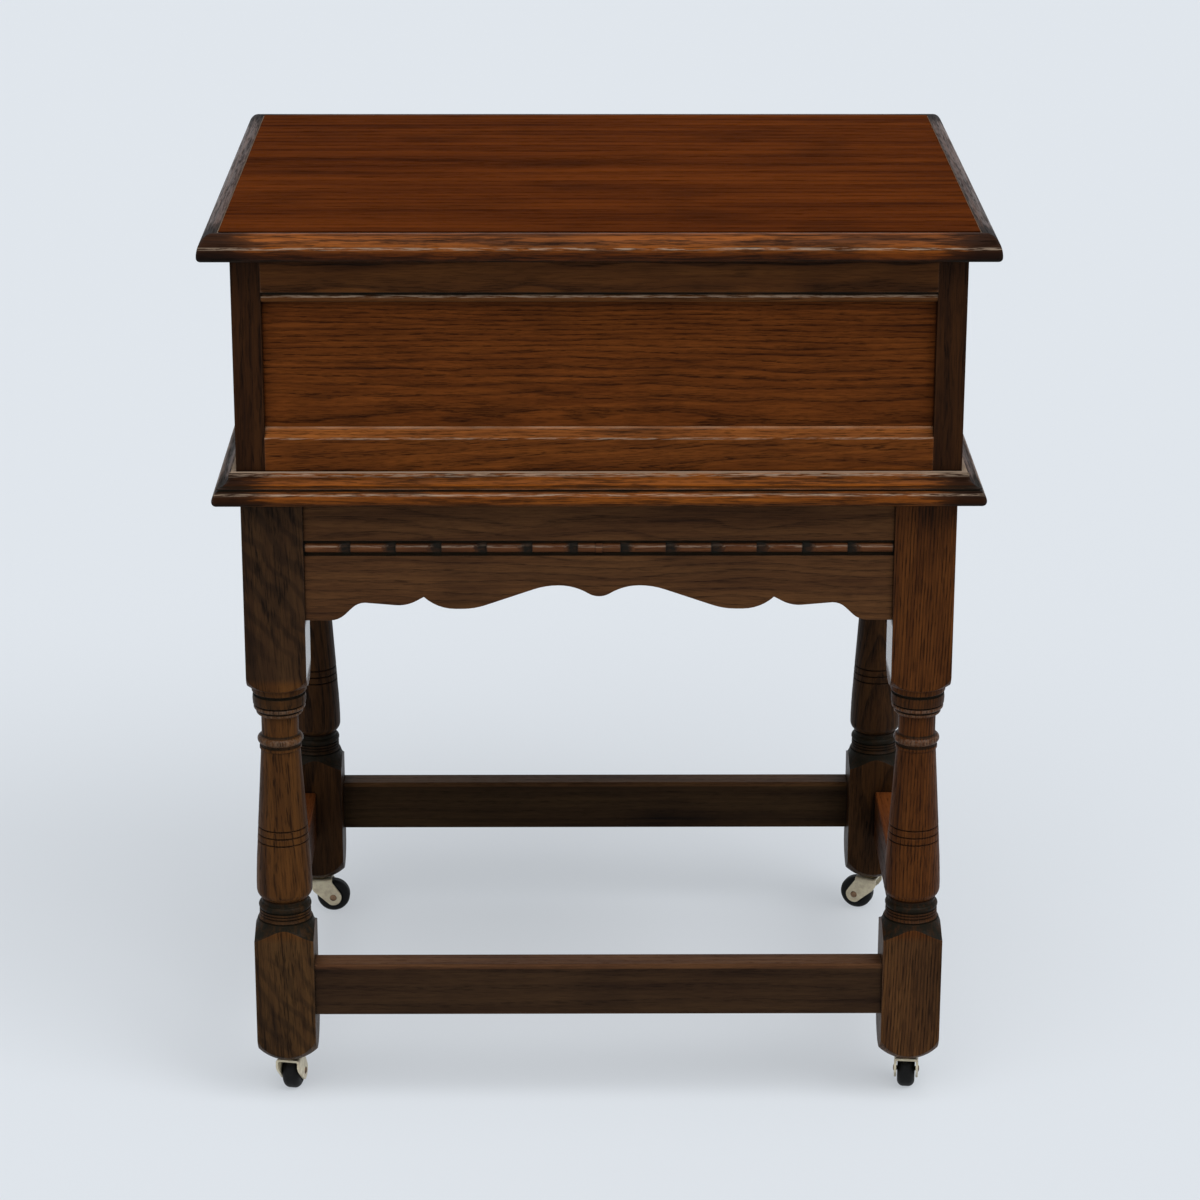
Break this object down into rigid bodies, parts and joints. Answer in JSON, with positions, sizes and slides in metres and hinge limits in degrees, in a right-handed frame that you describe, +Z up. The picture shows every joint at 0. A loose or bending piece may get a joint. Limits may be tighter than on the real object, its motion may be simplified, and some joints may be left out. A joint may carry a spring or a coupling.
{
  "type": "lift-lid box table",
  "caption": "Dark oak lift-lid box table with a moulded lid, panelled box, turned legs, scalloped aprons, low stretchers and castors.",
  "frame": {"origin": "centre of the footprint, on the floor under the castors", "axes": "+X to the right seen from the front, -Y towards the viewer at the front, +Z up"},
  "size_m": [0.5648, 0.4418, 0.6843],
  "materials": {
    "oak_leg": "waxed, dark",
    "oak_frame": "waxed, dark",
    "oak_dark": "waxed, darkest",
    "oak_panel": "waxed, dark",
    "oak_top": "waxed, polished",
    "oak_moulding": "waxed, worn on the edges",
    "oak_raw": "unpolished inside",
    "hinge_brass": "dull",
    "screw_brass": "dull",
    "collar_brass": "tarnished",
    "horn_enamel": "worn cream enamel",
    "axle_steel": "rusted",
    "wheel_black": "dark, dusty"
  },
  "bodies": {
    "table": {"leg_front_left": "oak_leg", "leg_front_right": "oak_leg", "leg_rear_left": "oak_leg", "leg_rear_right": "oak_leg", "apron_front": "oak_frame", "apron_right": "oak_frame", "apron_rear": "oak_frame", "apron_left": "oak_frame", "stretcher_front": "oak_frame", "stretcher_right": "oak_frame", "stretcher_rear": "oak_frame", "stretcher_left": "oak_frame", "base_board": "oak_raw", "plinth_moulding_front": "oak_moulding", "plinth_moulding_right": "oak_moulding", "plinth_moulding_rear": "oak_moulding", "plinth_moulding_left": "oak_moulding", "corner_post_front_left": "oak_dark", "corner_post_front_right": "oak_dark", "corner_post_rear_left": "oak_dark", "corner_post_rear_right": "oak_dark", "top_rail_front": "oak_frame", "top_rail_right": "oak_frame", "top_rail_rear": "oak_frame", "top_rail_left": "oak_frame", "bottom_rail_front": "oak_frame", "bottom_rail_right": "oak_frame", "bottom_rail_rear": "oak_frame", "bottom_rail_left": "oak_frame", "box_panel_front": "oak_panel", "box_panel_right": "oak_panel", "box_panel_rear": "oak_panel", "box_panel_left": "oak_panel", "hinge_box_leaves": "hinge_brass", "hinge_pins": "hinge_brass", "hinge_box_screws": "screw_brass", "castor_sockets": "collar_brass"},
    "lid": {"lid_panel": "oak_top", "lid_moulding_front": "oak_moulding", "lid_moulding_right": "oak_moulding", "lid_moulding_rear": "oak_moulding", "lid_moulding_left": "oak_moulding", "hinge_lid_leaves": "hinge_brass", "hinge_lid_screws": "screw_brass"},
    "castor_front_left": {"castor_horn_front_left": "horn_enamel", "castor_axle_front_left": "axle_steel"},
    "wheel_front_left": {"castor_wheel_front_left": "wheel_black"},
    "castor_front_right": {"castor_horn_front_right": "horn_enamel", "castor_axle_front_right": "axle_steel"},
    "wheel_front_right": {"castor_wheel_front_right": "wheel_black"},
    "castor_rear_left": {"castor_horn_rear_left": "horn_enamel", "castor_axle_rear_left": "axle_steel"},
    "wheel_rear_left": {"castor_wheel_rear_left": "wheel_black"},
    "castor_rear_right": {"castor_horn_rear_right": "horn_enamel", "castor_axle_rear_right": "axle_steel"},
    "wheel_rear_right": {"castor_wheel_rear_right": "wheel_black"}
  },
  "joints": [
    {"name": "lid_hinge", "type": "hinge", "parent": "table", "child": "lid", "pos_m": [0, 0.2028, 0.6649], "axis": [-1, 0, 0], "range_deg": [0, 100]},
    {"name": "swivel_front_left", "type": "hinge", "parent": "table", "child": "castor_front_left", "pos_m": [-0.23675, -0.17525, 0.0309], "axis": [0, 0, 1], "continuous": true},
    {"name": "roll_front_left", "type": "hinge", "parent": "castor_front_left", "child": "wheel_front_left", "pos_m": [-0.23467, -0.16343, 0.014], "axis": [-0.9848, 0.1736, 0], "continuous": true},
    {"name": "swivel_front_right", "type": "hinge", "parent": "table", "child": "castor_front_right", "pos_m": [0.23675, -0.17525, 0.0309], "axis": [0, 0, 1], "continuous": true},
    {"name": "roll_front_right", "type": "hinge", "parent": "castor_front_right", "child": "wheel_front_right", "pos_m": [0.238, -0.16332, 0.014], "axis": [-0.9945, 0.1045, 0], "continuous": true},
    {"name": "swivel_rear_left", "type": "hinge", "parent": "table", "child": "castor_rear_left", "pos_m": [-0.23675, 0.17525, 0.0309], "axis": [0, 0, 1], "continuous": true},
    {"name": "roll_rear_left", "type": "hinge", "parent": "castor_rear_left", "child": "wheel_rear_left", "pos_m": [-0.22475, 0.17525, 0.014], "axis": [0, 1, 0], "continuous": true},
    {"name": "swivel_rear_right", "type": "hinge", "parent": "table", "child": "castor_rear_right", "pos_m": [0.23675, 0.17525, 0.0309], "axis": [0, 0, 1], "continuous": true},
    {"name": "roll_rear_right", "type": "hinge", "parent": "castor_rear_right", "child": "wheel_rear_right", "pos_m": [0.22579, 0.18013, 0.014], "axis": [-0.4067, -0.9135, 0], "continuous": true}
  ]
}
